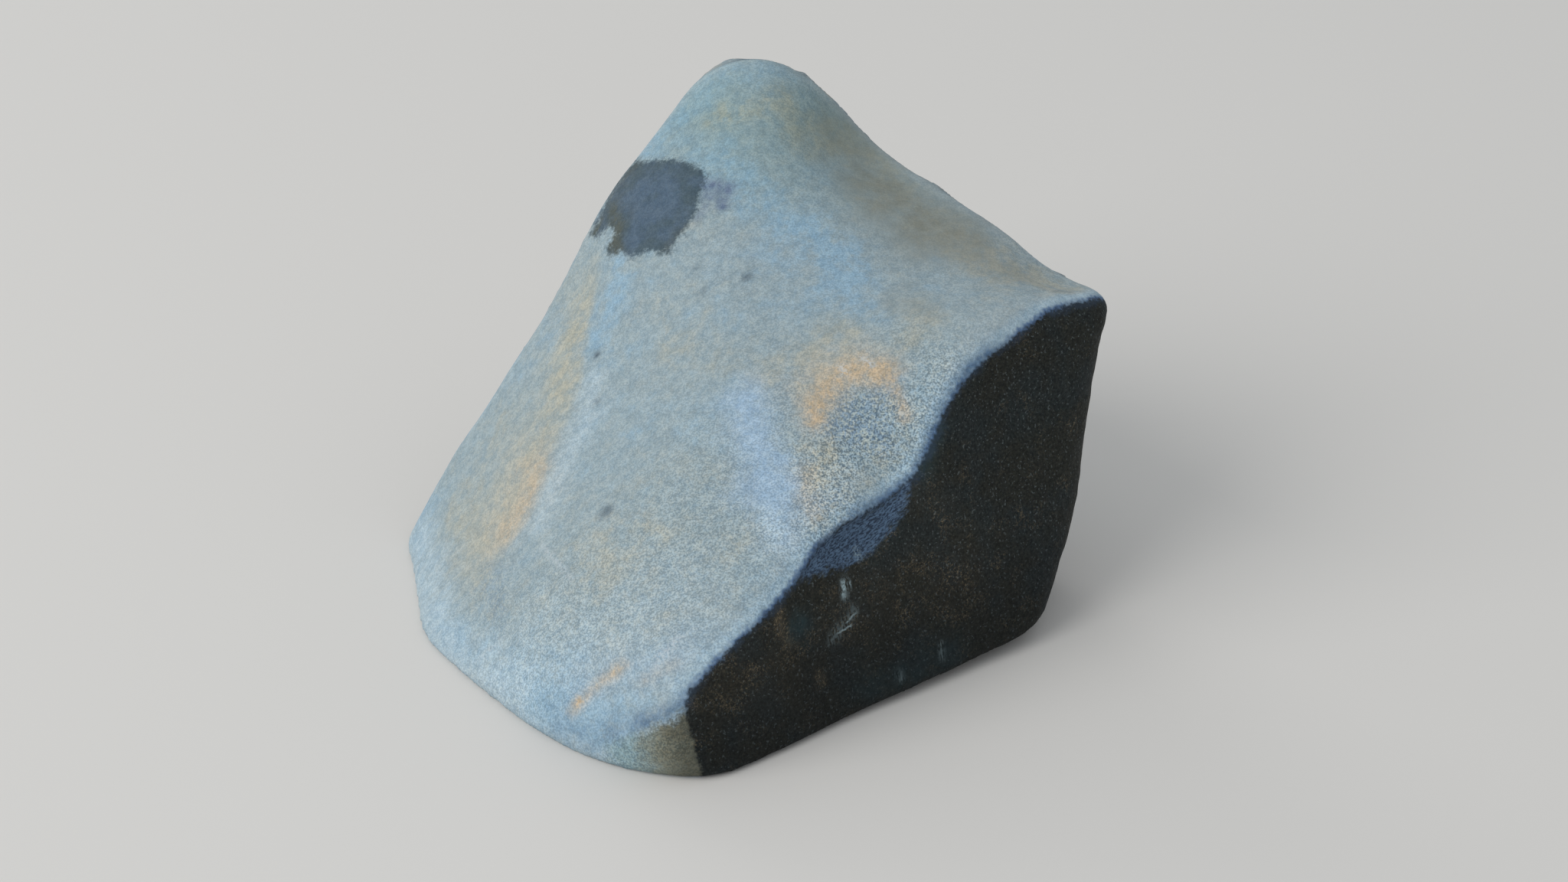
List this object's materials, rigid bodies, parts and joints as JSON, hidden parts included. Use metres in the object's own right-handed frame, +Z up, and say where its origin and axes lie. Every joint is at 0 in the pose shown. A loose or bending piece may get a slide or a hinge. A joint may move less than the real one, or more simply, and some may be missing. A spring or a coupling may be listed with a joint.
{
  "type": "viewing stone",
  "caption": "Water-worn natural stone that stands on a flat base: a pale face rises from a low nose to a rounded peak, and a crisp ridge parts it from a steep dark side.",
  "frame": {"origin": "middle of the stone's box, on the ground it rests on", "axes": "+Z up, -Y towards the low nose, +Y towards the peak, +X towards the steep dark side's shoulder"},
  "size_m": [0.1006, 0.0986, 0.0646],
  "materials": {
    "stone": "matt, water-worn, fine-grained"
  },
  "bodies": {
    "root": {"stone": "stone"}
  },
  "joints": []
}
